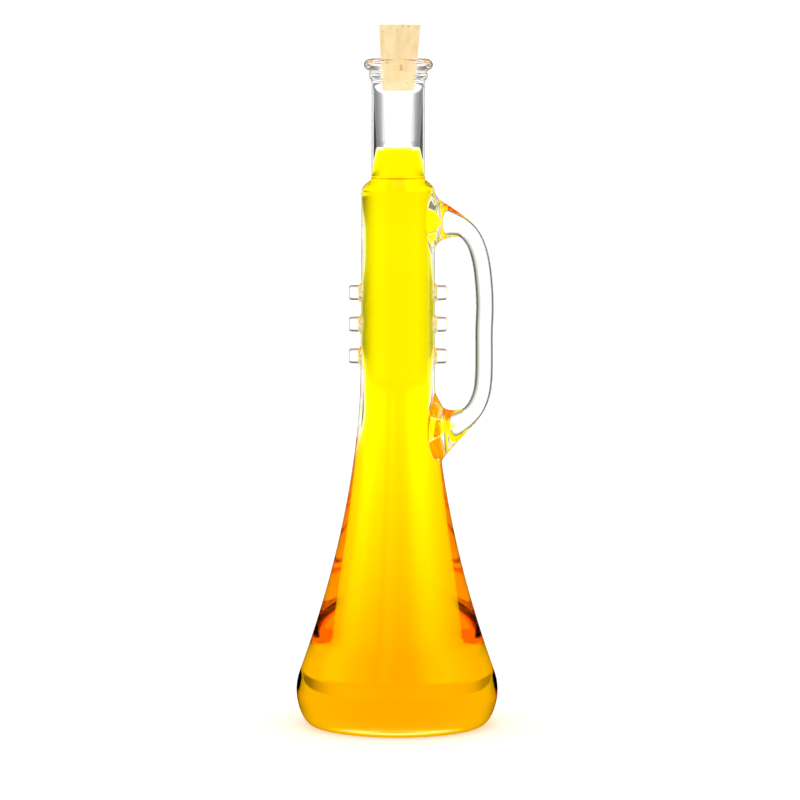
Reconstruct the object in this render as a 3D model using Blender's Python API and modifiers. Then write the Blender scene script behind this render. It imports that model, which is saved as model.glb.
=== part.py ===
"""Clear glass bottle shaped like a trumpet, corked, with a yellow drink in it up to the neck.

It has a flared bell to stand on, a slim tube with a solid side handle, three round lugs on each side
like valve caps, and a short neck with a rolled lip that a tapered cork closes.

Units are metres, +Z is up, and the origin is on the bottle's axis at the plane it stands on.
The handle is at +X."""

import math

import bmesh
import bpy
from mathutils import Matrix, Vector
from mathutils.geometry import interpolate_bezier

MM = 0.001

# Heights of the glass, from the standing plane up
GLASS_HEIGHT = 302.2 * MM
FLARE_END_HEIGHT = 24.0 * MM
FLARE_START_HEIGHT = 161.7 * MM
SHOULDER_HEIGHT = 242.8 * MM
LIP_HEIGHT = 299.5 * MM
BEAD_HEIGHT = 294.7 * MM
NECK_FOOT_HEIGHT = 268.0 * MM

# Outer radii of the glass
STANDING_RADIUS = 38.2 * MM
BASE_RADIUS = 45.85 * MM
FLARE_END_RADIUS = 44.4 * MM
TUBE_BOTTOM_RADIUS = 16.85 * MM
TUBE_TOP_RADIUS = 16.55 * MM
NECK_RADIUS = 11.95 * MM
NECK_FOOT_RADIUS = 12.3 * MM

# How the outline bends between those radii
FLARE_POWER = 1.8
HEEL_ROUNDNESS = 1.85
SHOULDER_ROUNDING = 4.5 * MM
SHOULDER_SLOPE = math.radians(50)
NECK_FILLET = 3.2 * MM

# The lip is a rolled ring with a thinner bead below it
LIP_CENTRE_RADIUS = 12.35 * MM
LIP_HALF_WIDTH = 3.15 * MM
BEAD_CENTRE_RADIUS = 12.0 * MM
BEAD_HALF_WIDTH = 1.3 * MM
BEAD_HALF_HEIGHT = 1.9 * MM
MOUTH_ROUNDING = 2.7 * MM

# The underside has a flat ring to stand on round a shallow hollow
RING_WIDTH = 3.0 * MM
PUNT_DEPTH = 2.2 * MM

# The cavity: seat, bore and floor, heights between which its rings keep one spacing, and the wall between it
# and the outline as (height, thickness)
BORE_RADIUS = 7.1 * MM
BORE_END_HEIGHT = 250.5 * MM
SEAT_END_HEIGHT = 284.0 * MM
FLOOR_HEIGHT = 6.2 * MM
FLOOR_CORNER = 9.0 * MM
CAVITY_STOPS = (206.0 * MM, 116.0 * MM)
WALL = (
    (20.0 * MM, 3.9 * MM),
    (45.0 * MM, 4.3 * MM),
    (80.0 * MM, 5.2 * MM),
    (116.0 * MM, 6.5 * MM),
    (139.0 * MM, 7.7 * MM),
    (157.0 * MM, 6.8 * MM),
    (172.0 * MM, 5.8 * MM),
    (195.0 * MM, 5.7 * MM),
    (206.0 * MM, 6.3 * MM),
    (240.0 * MM, 6.3 * MM),
)

# The drink's level at the axis, and how far it climbs the bore's wall
LIQUID_LEVEL = 261.8 * MM
MENISCUS_RISE = 1.5 * MM
MENISCUS_WIDTH = 3.0 * MM
GAP = 0.3 * MM

# Tapered cork, pressed part way into the mouth
CORK_TOP_HEIGHT = 317.5 * MM
CORK_BOTTOM_HEIGHT = 288.0 * MM
CORK_TOP_RADIUS = 9.15 * MM
CORK_BOTTOM_RADIUS = 7.4 * MM
CORK_EDGE = 0.4 * MM

# Round lugs, three on each side
LUG_HEIGHTS = (168.1 * MM, 182.5 * MM, 196.8 * MM)
LUG_START = 13.1 * MM
LUG_REACH = 22.1 * MM
LUG_RADIUS = 3.6 * MM
LUG_TIP_RADIUS = 3.35 * MM
LUG_EDGE = 0.8 * MM

# The handle's centre line in the XZ plane: knots as (x, z), direction, and length of the curve's arms
HANDLE_KNOTS = (
    ((12.5 * MM, 229.6 * MM), (1.0, 0.0), 1.5 * MM),
    ((16.5 * MM, 229.4 * MM), (1.0, -0.08), 3.0 * MM),
    ((27.0 * MM, 227.3 * MM), (0.94, -0.34), 6.5 * MM),
    ((39.0 * MM, 204.0 * MM), (0.1, -1.0), 14.5 * MM),
    ((39.3 * MM, 178.0 * MM), (0.0, -1.0), 9.0 * MM),
    ((38.2 * MM, 152.5 * MM), (-0.2, -0.98), 6.0 * MM),
    ((30.0 * MM, 139.2 * MM), (-0.84, -0.54), 5.0 * MM),
    ((19.5 * MM, 133.2 * MM), (-0.9, -0.4), 3.0 * MM),
    ((14.0 * MM, 131.0 * MM), (-0.93, -0.37), 1.5 * MM),
)
HANDLE_RADIUS = 4.15 * MM

# Each root spreads towards the body: radius where it meets it, how far out the spread starts and what it
# adds to the half height at the body, then what a last skirt against the body adds and how wide that is
UPPER_ROOT = (16.5 * MM, 15.0 * MM, 6.6 * MM, 2.2 * MM, 0.7 * MM)
LOWER_ROOT = (19.5 * MM, 14.0 * MM, 6.6 * MM, 2.8 * MM, 2.5 * MM)
ROOT_POWER = 1.4
ROOT_OVERRUN_SHARE = 0.8
ROOT_DEPTH_SHARE = 0.6

# The cavity swells into each root: centre as (x, z), half sizes along x, y and z, and the slope
UPPER_SWELL = ((8.0 * MM, 229.0 * MM), (10.5 * MM, 6.0 * MM, 9.0 * MM), 0.0)
LOWER_SWELL = ((11.5 * MM, 135.5 * MM), (14.0 * MM, 5.0 * MM, 7.5 * MM), math.radians(-8))

# Facets
ROUND_STEPS = 40
HANDLE_SIDES = 14
HANDLE_STEPS = 6
CORK_SIDES = 32
LUG_SIDES = 16

GLASS_COLOUR = (0.93, 0.96, 0.95, 1.0)
LIQUID_COLOUR = (1.0, 0.78, 0.02, 1.0)
CORK_COLOUR = (0.88, 0.72, 0.45, 1.0)


def clear_scene():
    for ob in list(bpy.data.objects):
        bpy.data.objects.remove(ob, do_unlink=True)


def new_collection(name):
    collection = bpy.data.collections.new(name)
    bpy.context.scene.collection.children.link(collection)
    return collection


def material(name, colour, roughness, transmission=0.0):
    mat = bpy.data.materials.new(name)
    mat.use_nodes = True
    shader = mat.node_tree.nodes["Principled BSDF"]
    shader.inputs["Base Color"].default_value = colour
    shader.inputs["Roughness"].default_value = roughness
    shader.inputs["Metallic"].default_value = 0.0
    shader.inputs["Transmission Weight"].default_value = transmission
    return mat


def arc(centre, half_width, half_height, start, end, steps):
    """Points of an elliptical arc from start to end degrees, both ends included."""
    points = []
    for i in range(steps + 1):
        angle = math.radians(start + (end - start) * i / steps)
        points.append((centre[0] + half_width * math.cos(angle), centre[1] + half_height * math.sin(angle)))
    return points


def smooth_step(t):
    t = min(max(t, 0.0), 1.0)
    return t * t * (3 - 2 * t)


def flare_radius(z):
    """Outer radius of the bell, which opens from the tube by a power law."""
    share = max(0.0, (FLARE_START_HEIGHT - z) / (FLARE_START_HEIGHT - FLARE_END_HEIGHT))
    return TUBE_BOTTOM_RADIUS + (FLARE_END_RADIUS - TUBE_BOTTOM_RADIUS) * share**FLARE_POWER


def heel():
    """Slope at the bell's rim, and radius and centre height of the arc that turns it upright."""
    rise = FLARE_START_HEIGHT - FLARE_END_HEIGHT
    slope = math.atan(FLARE_POWER * (FLARE_END_RADIUS - TUBE_BOTTOM_RADIUS) / rise)
    rounding = (BASE_RADIUS - FLARE_END_RADIUS) / (1 - math.cos(slope))
    return slope, rounding, FLARE_END_HEIGHT - rounding * math.sin(slope)


def outer_radius(z):
    """Outer radius of the glass between the widest point of its base and its shoulder."""
    slope, rounding, widest = heel()
    if z < FLARE_END_HEIGHT:
        return BASE_RADIUS - rounding + math.sqrt(max(0.0, rounding**2 - (z - widest) ** 2))
    if z < FLARE_START_HEIGHT:
        return flare_radius(z)
    share = (z - FLARE_START_HEIGHT) / (SHOULDER_HEIGHT - FLARE_START_HEIGHT)
    return TUBE_BOTTOM_RADIUS + (TUBE_TOP_RADIUS - TUBE_BOTTOM_RADIUS) * min(share, 1.0)


def underside_points(steps=5):
    """From the flat ring's inner edge in to the axis, along the shallow hollow."""
    edge = STANDING_RADIUS - RING_WIDTH
    points = [(STANDING_RADIUS, 0.0), (edge, 0.0)]
    for i in range(1, steps + 1):
        angle = math.pi / 2 * i / steps
        points.append((edge * math.cos(angle), PUNT_DEPTH * math.sin(angle)))
    points[-1] = (0.0, PUNT_DEPTH)
    return points


def heel_points(steps=7):
    """From the widest point down to the standing ring, a quarter of a superellipse."""
    widest = heel()[2]
    width = BASE_RADIUS - STANDING_RADIUS
    points = []
    for i in range(steps):
        angle = math.pi / 2 * i / steps
        across = math.cos(angle) ** (2 / HEEL_ROUNDNESS)
        down = math.sin(angle) ** (2 / HEEL_ROUNDNESS)
        points.append((STANDING_RADIUS + width * across, widest * (1 - down)))
    return points


def lip_points():
    """From the axis over the mouth's rim, down round the lip and the bead to the neck."""
    lip_half_height = GLASS_HEIGHT - LIP_HEIGHT
    mouth_width = LIP_CENTRE_RADIUS - mouth_radius()
    mouth_height = GLASS_HEIGHT - MOUTH_ROUNDING
    points = [(0.0, mouth_height)]
    points += arc((LIP_CENTRE_RADIUS, mouth_height), mouth_width, MOUTH_ROUNDING, 180, 90, 4)
    points += arc((LIP_CENTRE_RADIUS, LIP_HEIGHT), LIP_HALF_WIDTH, lip_half_height, 72, -72, 7)
    points += arc((BEAD_CENTRE_RADIUS, BEAD_HEIGHT), BEAD_HALF_WIDTH, BEAD_HALF_HEIGHT, 45, -75, 4)
    points.append((NECK_RADIUS, BEAD_HEIGHT - 1.8 * BEAD_HALF_HEIGHT))
    return points


def shoulder_points():
    """From the neck's foot round its fillet and down the shoulder to the tube."""
    slope = SHOULDER_SLOPE
    shoulder_centre = TUBE_TOP_RADIUS - SHOULDER_ROUNDING
    shoulder_edge = shoulder_centre + SHOULDER_ROUNDING * math.cos(slope)
    fillet_edge = NECK_FOOT_RADIUS + NECK_FILLET * (1 - math.cos(slope))
    fillet_height = (
        SHOULDER_HEIGHT
        + SHOULDER_ROUNDING * math.sin(slope)
        + (shoulder_edge - fillet_edge) / math.tan(slope)
        + NECK_FILLET * math.sin(slope)
    )
    degrees = math.degrees(slope)
    fillet_centre = (NECK_FOOT_RADIUS + NECK_FILLET, fillet_height)
    shoulder = (shoulder_centre, SHOULDER_HEIGHT)
    points = [(NECK_RADIUS, NECK_FOOT_HEIGHT)]
    points += arc(fillet_centre, NECK_FILLET, NECK_FILLET, 180, 180 + degrees, 3)
    points += arc(shoulder, SHOULDER_ROUNDING, SHOULDER_ROUNDING, degrees, 0, 4)
    return points


def heights_down(start, end, steps):
    return [start + (end - start) * i / steps for i in range(1, steps + 1)]


def outline_points():
    """The solid outline, from the axis at the mouth to the axis under the base."""
    widest = heel()[2]
    heights = heights_down(SHOULDER_HEIGHT, FLARE_START_HEIGHT, 2)
    heights += heights_down(FLARE_START_HEIGHT, FLARE_END_HEIGHT, 11)
    heights += heights_down(FLARE_END_HEIGHT, widest, 3)[:-1]
    points = lip_points() + shoulder_points()
    points += [(outer_radius(z), z) for z in heights]
    return points + heel_points() + underside_points()


def wall_thickness(z):
    """Smooth run through the WALL stations."""
    if z <= WALL[0][0]:
        return WALL[0][1]
    for (z0, t0), (z1, t1) in zip(WALL, WALL[1:]):
        if z <= z1:
            return t0 + (t1 - t0) * smooth_step((z - z0) / (z1 - z0))
    return WALL[-1][1]


def cork_radius(z):
    share = (z - CORK_BOTTOM_HEIGHT) / (CORK_TOP_HEIGHT - CORK_BOTTOM_HEIGHT)
    return CORK_BOTTOM_RADIUS + (CORK_TOP_RADIUS - CORK_BOTTOM_RADIUS) * share


def mouth_radius():
    """Radius of the bore where the mouth's rim rounds into it."""
    return cork_radius(GLASS_HEIGHT - MOUTH_ROUNDING) + GAP


def cavity_radius(z):
    """Inner radius of the glass: cork seat, bore, shoulder and body."""
    if z >= CORK_BOTTOM_HEIGHT:
        return cork_radius(z) + GAP
    if z >= SEAT_END_HEIGHT:
        seat = cork_radius(CORK_BOTTOM_HEIGHT) + GAP
        share = (z - SEAT_END_HEIGHT) / (CORK_BOTTOM_HEIGHT - SEAT_END_HEIGHT)
        return BORE_RADIUS + (seat - BORE_RADIUS) * smooth_step(share)
    if z >= BORE_END_HEIGHT:
        return BORE_RADIUS
    top = WALL[-1][0]
    if z > top:
        body = outer_radius(top) - wall_thickness(top)
        share = (BORE_END_HEIGHT - z) / (BORE_END_HEIGHT - top)
        return BORE_RADIUS + (body - BORE_RADIUS) * smooth_step(share)
    return outer_radius(z) - wall_thickness(z)


def cavity_heights():
    """Heights of the cavity's rings, from the bore's lower end down to the floor's corner."""
    top = WALL[-1][0]
    upper, lower = CAVITY_STOPS
    heights = [BORE_END_HEIGHT] + heights_down(BORE_END_HEIGHT, top, 4)
    heights += heights_down(top, upper, 1)
    heights += heights_down(upper, lower, 9)
    heights += heights_down(lower, FLOOR_HEIGHT + FLOOR_CORNER, 7)
    return heights


def floor_points(inset):
    """The cavity's rounded corner and flat floor, pulled in by the inset."""
    corner = FLOOR_HEIGHT + FLOOR_CORNER
    radius = cavity_radius(corner) - inset
    points = arc((radius - FLOOR_CORNER, corner), FLOOR_CORNER, FLOOR_CORNER - inset, 0, -90, 5)[1:]
    return points + [(0.0, FLOOR_HEIGHT + inset)]


def cavity_points():
    """The cavity's outline, from the axis above the mouth to the axis at the floor."""
    over = GLASS_HEIGHT + 3 * MM
    seat_heights = [CORK_BOTTOM_HEIGHT] + heights_down(CORK_BOTTOM_HEIGHT, SEAT_END_HEIGHT, 2)
    points = [(0.0, over), (mouth_radius(), over), (mouth_radius(), GLASS_HEIGHT - MOUTH_ROUNDING)]
    points += [(cavity_radius(z), z) for z in seat_heights + cavity_heights()]
    return points + floor_points(0.0)


def liquid_points():
    """The drink's outline, a gap inside the cavity, from its level at the axis down to the floor."""
    edge = BORE_RADIUS - GAP
    points = [(0.0, LIQUID_LEVEL)]
    for share in (0.0, 0.5, 0.8, 1.0):
        points.append((edge - MENISCUS_WIDTH * (1 - share), LIQUID_LEVEL + MENISCUS_RISE * share**2))
    points += [(cavity_radius(z) - GAP, z) for z in cavity_heights()]
    return points + floor_points(GAP)


def turned(name, points, collection):
    """A closed solid turned about Z from (radius, height) points that start and end on the axis."""
    mesh = bpy.data.meshes.new(name)
    edges = [(i, i + 1) for i in range(len(points) - 1)]
    mesh.from_pydata([(r, 0.0, z) for r, z in points], edges, [])
    ob = bpy.data.objects.new(name, mesh)
    collection.objects.link(ob)
    screw = ob.modifiers.new("turn", "SCREW")
    screw.axis = "Z"
    screw.angle = math.tau
    screw.steps = ROUND_STEPS
    screw.render_steps = ROUND_STEPS
    screw.use_merge_vertices = True
    screw.merge_threshold = 0.01 * MM
    screw.use_smooth_shade = True
    return ob


def root_spread(x, root):
    """What a root adds to the handle's half height at a distance x from the bottle's axis."""
    edge, reach, spread, skirt, skirt_width = root
    out = max(x - edge, -ROOT_OVERRUN_SHARE * skirt_width)
    cone = spread * max(0.0, 1 - out / reach) ** ROOT_POWER
    return cone + skirt * math.exp(-out / skirt_width)


def handle_sections():
    """Centres, directions, half heights and half depths along the handle, from its upper root down.

    The sections lie across the centre line, and turn upright towards the body in the roots."""
    knots = []
    for (x, z), (dx, dz), arm in HANDLE_KNOTS:
        centre = Vector((x, 0.0, z))
        knots.append((centre, Vector((dx, 0.0, dz)).normalized() * arm))
    line = []
    for (start, start_arm), (end, end_arm) in zip(knots, knots[1:]):
        line += interpolate_bezier(start, start + start_arm, end - end_arm, end, HANDLE_STEPS)[:-1]
    line.append(knots[-1][0])
    sections = []
    middle = (HANDLE_KNOTS[0][0][1] + HANDLE_KNOTS[-1][0][1]) / 2
    for i, centre in enumerate(line):
        root = UPPER_ROOT if centre.z > middle else LOWER_ROOT
        extra = root_spread(centre.x, root)
        along = line[min(i + 1, len(line) - 1)] - line[max(i - 1, 0)]
        along.z *= min(max((centre.x - root[0]) / root[1], 0.0), 1.0)
        along.normalize()
        half_depth = HANDLE_RADIUS + ROOT_DEPTH_SHARE * extra
        sections.append((centre, along, HANDLE_RADIUS + extra, half_depth))
    return sections


def handle_solid(collection):
    """The solid handle, lofted through elliptical sections that spread at both roots."""
    bm = bmesh.new()
    rings = []
    for centre, along, half_height, half_depth in handle_sections():
        side = Vector((0.0, 1.0, 0.0))
        up = side.cross(along)
        ring = []
        for i in range(HANDLE_SIDES):
            angle = math.tau * i / HANDLE_SIDES
            corner = centre + up * half_height * math.cos(angle) + side * half_depth * math.sin(angle)
            ring.append(bm.verts.new(corner))
        rings.append(ring)
    for ring, after in zip(rings, rings[1:]):
        for i in range(HANDLE_SIDES):
            j = (i + 1) % HANDLE_SIDES
            bm.faces.new((ring[i], ring[j], after[j], after[i]))
    bm.faces.new(rings[0])
    bm.faces.new(rings[-1])
    bmesh.ops.recalc_face_normals(bm, faces=bm.faces)
    mesh = bpy.data.meshes.new("handle")
    bm.to_mesh(mesh)
    bm.free()
    ob = bpy.data.objects.new("handle", mesh)
    collection.objects.link(ob)
    return ob


def lug_solid(name, side, height, collection):
    """A tapered round peg that starts inside the glass wall, with a rounded outer edge."""
    length = LUG_REACH - LUG_START
    bm = bmesh.new()
    bmesh.ops.create_cone(
        bm, cap_ends=True, segments=LUG_SIDES, radius1=LUG_RADIUS, radius2=LUG_TIP_RADIUS, depth=length
    )
    tip_edges = [e for e in bm.edges if all(v.co.z > 0 for v in e.verts)]
    bmesh.ops.bevel(bm, geom=tip_edges, offset=LUG_EDGE, segments=2, profile=0.5, affect="EDGES")
    turn = Matrix.Rotation(side * math.pi / 2, 4, "Y")
    place = Matrix.Translation((side * (LUG_START + length / 2), 0.0, height))
    bmesh.ops.transform(bm, matrix=place @ turn, verts=bm.verts)
    mesh = bpy.data.meshes.new(name)
    bm.to_mesh(mesh)
    bm.free()
    ob = bpy.data.objects.new(name, mesh)
    collection.objects.link(ob)
    return ob


def swell_solid(name, swell, inset, collection):
    """An egg-shaped bulge of the cavity into a handle root."""
    (x, z), halves, slope = swell
    bm = bmesh.new()
    bmesh.ops.create_uvsphere(bm, u_segments=20, v_segments=12, radius=1.0)
    size = Matrix.Diagonal([half - inset for half in halves] + [1.0])
    stand = Matrix.Rotation(math.pi / 2, 4, "Y")
    turn = Matrix.Rotation(-slope, 4, "Y")
    place = Matrix.Translation((x, 0.0, z))
    bmesh.ops.transform(bm, matrix=place @ turn @ size @ stand, verts=bm.verts)
    mesh = bpy.data.meshes.new(name)
    bm.to_mesh(mesh)
    bm.free()
    ob = bpy.data.objects.new(name, mesh)
    collection.objects.link(ob)
    return ob


def combine(ob, operation, other):
    boolean = ob.modifiers.new(operation.lower() + "_" + other.name, "BOOLEAN")
    boolean.operation = operation
    boolean.object = other
    boolean.solver = "EXACT"


def glass_bottle(collection, cutters):
    """Body, handle and lugs fused into one piece of glass, with the cavity cut out of it."""
    glass = turned("glass_bottle", outline_points(), collection)
    combine(glass, "UNION", handle_solid(cutters))
    for side, word in ((-1, "left"), (1, "right")):
        for number, height in enumerate(LUG_HEIGHTS, 1):
            combine(glass, "UNION", lug_solid(f"lug_{word}_{number}", side, height, cutters))
    cavity = turned("cavity", cavity_points(), cutters)
    combine(cavity, "UNION", swell_solid("cavity_upper_swell", UPPER_SWELL, 0.0, cutters))
    combine(cavity, "UNION", swell_solid("cavity_lower_swell", LOWER_SWELL, 0.0, cutters))
    combine(glass, "DIFFERENCE", cavity)
    glass.data.materials.append(material("clear_glass", GLASS_COLOUR, 0.02, transmission=1.0))
    return glass


def liquid(collection, cutters):
    """The drink, solid from the floor up to its level, a gap clear of the glass."""
    drink = turned("liquid", liquid_points(), collection)
    combine(drink, "UNION", swell_solid("liquid_upper_swell", UPPER_SWELL, GAP, cutters))
    combine(drink, "UNION", swell_solid("liquid_lower_swell", LOWER_SWELL, GAP, cutters))
    drink.data.materials.append(material("yellow_drink", LIQUID_COLOUR, 0.05, transmission=0.9))
    return drink


def cork(collection):
    """The tapered stopper with slightly broken edges."""
    bm = bmesh.new()
    length = CORK_TOP_HEIGHT - CORK_BOTTOM_HEIGHT
    radii = {"radius1": CORK_BOTTOM_RADIUS, "radius2": CORK_TOP_RADIUS}
    bmesh.ops.create_cone(bm, cap_ends=True, segments=CORK_SIDES, depth=length, **radii)
    mesh = bpy.data.meshes.new("cork")
    bm.to_mesh(mesh)
    bm.free()
    mesh.shade_smooth()
    mesh.set_sharp_from_angle(angle=math.radians(40))
    stopper = bpy.data.objects.new("cork", mesh)
    stopper.location = (0.0, 0.0, CORK_BOTTOM_HEIGHT + length / 2)
    collection.objects.link(stopper)
    bevel = stopper.modifiers.new("broken_edges", "BEVEL")
    bevel.width = CORK_EDGE
    bevel.segments = 1
    bevel.limit_method = "ANGLE"
    bevel.angle_limit = math.radians(40)
    mesh.materials.append(material("natural_cork", CORK_COLOUR, 0.85))
    return stopper


def main():
    clear_scene()
    parts = new_collection("glass_bottle_with_drink")
    cutters = new_collection("cutters")
    glass_bottle(parts, cutters)
    liquid(parts, cutters)
    cork(parts)
    for ob in cutters.objects:
        ob.hide_render = True
        ob.display_type = "WIRE"


main()
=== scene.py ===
"""Looks of the corked glass bottle shaped like a trumpet: its glass, drink and cork, floor, light and camera.

Units are metres, in the frame of the CAD model: +Z up, the origin on the bottle's axis at the plane it stands on,
the handle at +X."""

import math

import bmesh
import bpy
import numpy as np
from mathutils import Euler, Matrix, Vector
from mathutils.geometry import interpolate_bezier


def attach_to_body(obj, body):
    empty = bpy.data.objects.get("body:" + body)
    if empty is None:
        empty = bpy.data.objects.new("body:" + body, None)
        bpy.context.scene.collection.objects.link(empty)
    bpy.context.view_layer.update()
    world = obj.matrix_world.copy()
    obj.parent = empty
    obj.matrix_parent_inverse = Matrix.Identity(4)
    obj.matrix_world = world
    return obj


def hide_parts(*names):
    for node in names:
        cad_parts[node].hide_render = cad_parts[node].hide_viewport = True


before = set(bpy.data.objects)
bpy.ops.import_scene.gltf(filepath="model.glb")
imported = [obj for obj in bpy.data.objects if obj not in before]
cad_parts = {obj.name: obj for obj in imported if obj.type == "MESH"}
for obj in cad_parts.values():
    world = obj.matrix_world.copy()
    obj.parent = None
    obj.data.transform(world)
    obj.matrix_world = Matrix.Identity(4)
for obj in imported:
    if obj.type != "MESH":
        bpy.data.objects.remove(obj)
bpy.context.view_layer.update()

MM = 0.001

# Heights of the glass
GLASS_HEIGHT = 302.2 * MM
FLARE_END_HEIGHT = 24.0 * MM
FLARE_START_HEIGHT = 161.7 * MM
SHOULDER_HEIGHT = 242.4 * MM
LIP_HEIGHT = 299.5 * MM
BEAD_HEIGHT = 294.7 * MM
NECK_FOOT_HEIGHT = 280.0 * MM

# Outer radii of the glass
STANDING_RADIUS = 38.2 * MM
BASE_RADIUS = 45.85 * MM
FLARE_END_RADIUS = 44.4 * MM
TUBE_BOTTOM_RADIUS = 16.85 * MM
TUBE_TOP_RADIUS = 16.55 * MM
NECK_RADIUS = 12.0 * MM
NECK_FOOT_RADIUS = 12.08 * MM

# How the outline bends between those radii
FLARE_POWER = 1.8
HEEL_ROUNDNESS = 1.85
SHOULDER_ROUNDING = 4.2 * MM
SHOULDER_SLOPE = math.radians(52)
NECK_FILLET = 2.4 * MM

# The lip is a rolled ring with a thinner bead below it
LIP_CENTRE_RADIUS = 12.35 * MM
LIP_HALF_WIDTH = 3.15 * MM
BEAD_CENTRE_RADIUS = 12.0 * MM
BEAD_HALF_WIDTH = 1.3 * MM
BEAD_HALF_HEIGHT = 1.9 * MM
MOUTH_ROUNDING = 2.7 * MM

# The underside has a flat ring to stand on round a shallow hollow
RING_WIDTH = 3.0 * MM
PUNT_DEPTH = 1.4 * MM

# The cavity: mouth, bore and floor, and the wall between it and the outline as (height, thickness)
MOUTH_RADIUS = 8.46 * MM
SEAT_RADIUS = 7.35 * MM
SEAT_HEIGHT = 288.0 * MM
BORE_RADIUS = 6.4 * MM
BORE_WAIST_HEIGHT = 264.0 * MM
BORE_FOOT_RADIUS = 8.0 * MM
BORE_END_HEIGHT = 249.0 * MM
FLOOR_HEIGHT = 4.6 * MM
FLOOR_CORNER = 9.0 * MM
WALL = (
    (20.0 * MM, 3.9 * MM),
    (45.0 * MM, 4.3 * MM),
    (80.0 * MM, 5.2 * MM),
    (116.0 * MM, 6.5 * MM),
    (139.0 * MM, 7.7 * MM),
    (157.0 * MM, 6.8 * MM),
    (172.0 * MM, 5.8 * MM),
    (194.0 * MM, 5.7 * MM),
    (214.0 * MM, 6.6 * MM),
    (223.0 * MM, 6.6 * MM),
    (240.0 * MM, 5.4 * MM),
)

# The drink's level at the axis, how far it climbs the bore, and how far it reaches into the wall
LIQUID_LEVEL = 261.9 * MM
MENISCUS_RISE = 0.7 * MM
MENISCUS_WIDTH = 0.25 * MM
WALL_OVERLAP = 0.1 * MM

# Round lugs, three on each side
LUG_HEIGHTS = (168.1 * MM, 182.5 * MM, 196.8 * MM)
LUG_START = 13.1 * MM
LUG_REACH = 22.1 * MM
LUG_RADIUS = 3.6 * MM
LUG_TIP_RADIUS = 3.35 * MM
LUG_EDGE = 0.9 * MM
LUG_FILLET = 0.7 * MM
LUG_FILLET_WIDTH = 0.45 * MM

# The handle's centre line in the XZ plane: knots as (x, z), direction, and length of the curve's arms
HANDLE_KNOTS = (
    ((12.5 * MM, 229.6 * MM), (1.0, 0.0), 1.5 * MM),
    ((16.5 * MM, 229.4 * MM), (1.0, -0.08), 3.0 * MM),
    ((27.0 * MM, 227.3 * MM), (0.94, -0.34), 6.5 * MM),
    ((38.5 * MM, 204.0 * MM), (0.1, -1.0), 14.5 * MM),
    ((38.95 * MM, 178.0 * MM), (0.0, -1.0), 9.0 * MM),
    ((38.2 * MM, 152.5 * MM), (-0.2, -0.98), 6.0 * MM),
    ((30.0 * MM, 139.2 * MM), (-0.84, -0.54), 5.0 * MM),
    ((19.5 * MM, 133.2 * MM), (-0.9, -0.4), 3.0 * MM),
    ((14.0 * MM, 131.0 * MM), (-0.93, -0.37), 1.5 * MM),
)
HANDLE_RADIUS = 4.15 * MM

# Each root spreads towards the body: radius where it meets it, how far out the spread starts and what it adds
# to the half height at the body, then what a last skirt against the body adds and how wide that is
UPPER_ROOT = (16.5 * MM, 15.0 * MM, 6.6 * MM, 2.2 * MM, 0.7 * MM)
LOWER_ROOT = (19.5 * MM, 14.0 * MM, 6.6 * MM, 2.8 * MM, 2.5 * MM)
ROOT_POWER = 1.4
ROOT_OVERRUN_SHARE = 0.8
ROOT_DEPTH_SHARE = 0.6

# Height of the lower root's middle on the body, and how far out both roots' sections have become flat
LOWER_ROOT_MIDDLE = 136.0 * MM
ROOT_FLAT = 3.0 * MM

# The cavity swells into each root like a tent: where it starts as (x, z), its reach and slope, the half depth and
# half height of its tip's stem, and what the flare at its foot adds to them
UPPER_SWELL = ((7.5 * MM, 229.0 * MM), 11.0 * MM, 0.0, (2.2 * MM, 2.8 * MM), (3.2 * MM, 6.5 * MM))
LOWER_SWELL = ((8.0 * MM, 134.5 * MM), 17.8 * MM, math.radians(-6), (2.0 * MM, 2.6 * MM), (3.2 * MM, 7.0 * MM))
SWELL_FLARE = 3.0 * MM
SWELL_ROWS = 18
SWELL_COLUMNS = 48
SWELL_FLAT_RUN = 0.62

# Tapered cork
CORK_TOP_HEIGHT = 317.5 * MM
CORK_BOTTOM_HEIGHT = 288.0 * MM
CORK_TOP_RADIUS = 9.4 * MM
CORK_BOTTOM_RADIUS = 7.3 * MM
CORK_EDGE = 0.5 * MM
CORK_LEAN = 0.65 * MM

# Kinds of the glass's faces
DRY = 0
WETTED = 1

# Mesh density
COLUMNS = 128
ROW_SPACING = 1.4 * MM
ROOT_COLUMNS = 32
ROOT_ROWS = 30
LUG_COLUMNS = 16
LUG_ROWS = 8
PATCH_LOOPS = 8
ROOT_LOOPS = 6
BRANCH_LOWEST = 95.0 * MM
BRANCH_HIGHEST = 262.5 * MM
HANDLE_RINGS = 120

# Colours of the cork
CORK_LIGHT = (0.86, 0.675, 0.375)
CORK_DARK = (0.74, 0.55, 0.275)
CORK_PORE = (0.56, 0.38, 0.18)

# How glass and drink bend light. Where the drink wets the glass their surfaces lie just beside each other: only the
# ratio of the two counts there, and small values keep both from mirroring. Then what the drink absorbs of red, green
# and blue, per metre
GLASS_IOR = 1.52
WETTED_IOR = 1.06
DRINK_IOR = 1.025
DRINK_ABSORPTION = (0.3, 12.0, 1100.0)

# The studio's light at the horizon and overhead
HORIZON_LIGHT = 1.25
OVERHEAD_LIGHT = 1.5

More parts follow.
